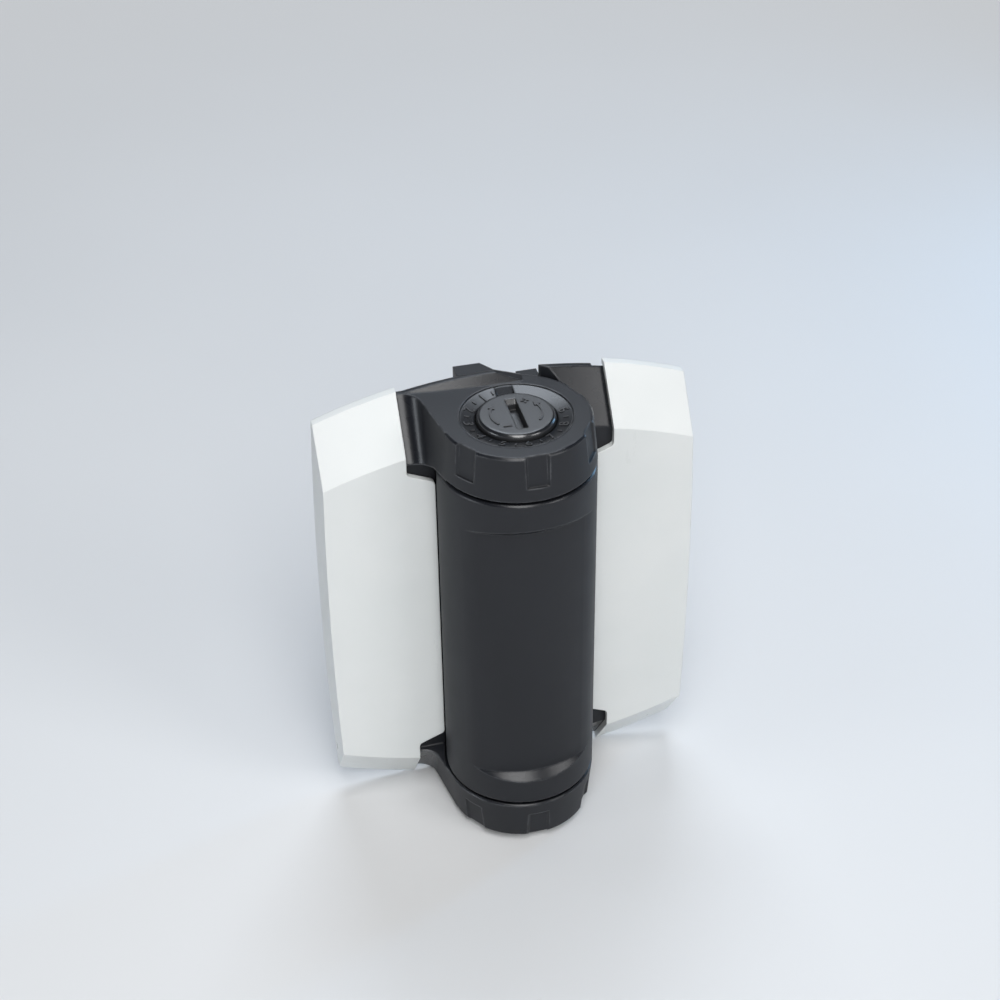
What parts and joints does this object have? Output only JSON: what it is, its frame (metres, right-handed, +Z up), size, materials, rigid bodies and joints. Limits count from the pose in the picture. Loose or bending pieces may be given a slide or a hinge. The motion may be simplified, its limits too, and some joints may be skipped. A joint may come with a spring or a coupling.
{
  "type": "self-closing gate hinge",
  "caption": "Covered surface-mount gate hinge whose barrel holds a torsion spring that closes the gate, with a push-and-turn tension dial on top.",
  "frame": {"origin": "on the mounting plane, straight behind the pivot axis, at the hinge's mid-height", "axes": "+X towards the post leaf, +Y from the hinge into the gate and post, +Z up along the pivot towards the tension dial"},
  "size_m": [0.0886, 0.0384, 0.1162],
  "materials": {
    "dark_polymer": "satin moulded, near black",
    "pale_cover": "semi-gloss off-white",
    "scale_polymer": "satin moulded",
    "dial_polymer": "satin moulded with a polished rim",
    "bearing_polymer": "natural acetal",
    "steel": "turned stainless",
    "spring_steel": "drawn stainless wire",
    "seal_rubber": "plain"
  },
  "bodies": {
    "post_side": {"post_leaf": "dark_polymer", "post_leaf_cover": "pale_cover", "upper_bush": "bearing_polymer", "lower_bush": "bearing_polymer", "upper_thrust_washer": "bearing_polymer", "lower_thrust_washer": "bearing_polymer", "spring_anchor": "steel", "torsion_spring": "spring_steel"},
    "gate_side": {"gate_leaf": "dark_polymer", "gate_leaf_cover": "pale_cover", "upper_pivot_sleeve": "steel", "tension_scale_ring": "scale_polymer", "lower_pivot_pin": "steel", "lower_end_cap": "dark_polymer", "lock_ring": "steel", "dial_return_spring": "spring_steel"},
    "spring_winder": {"spring_hub": "steel", "hub_washer": "bearing_polymer"},
    "dial": {"tension_dial": "dial_polymer", "dial_seal": "seal_rubber", "dial_spindle": "steel", "lock_collar": "steel", "spindle_clip": "spring_steel"}
  },
  "joints": [
    {"name": "hinge_swing", "type": "hinge", "parent": "post_side", "child": "gate_side", "pos_m": [0, -0.016, 0], "axis": [0, 0, 1], "range_deg": [0, 180], "stiffness_Nm_per_rad": 1, "springref_deg": -57.3, "deforming": ["torsion_spring"]},
    {"name": "tension_setting", "type": "hinge", "parent": "gate_side", "child": "spring_winder", "pos_m": [0, -0.016, 0], "axis": [0, 0, 1], "range_deg": [0, 270], "deforming": ["torsion_spring"]},
    {"name": "dial_push", "type": "slide", "parent": "spring_winder", "child": "dial", "axis": [0, 0, -1], "range_m": [0, 0.0035], "stiffness_N_per_m": 600, "springref_m": -0.004, "deforming": ["dial_return_spring"]}
  ]
}
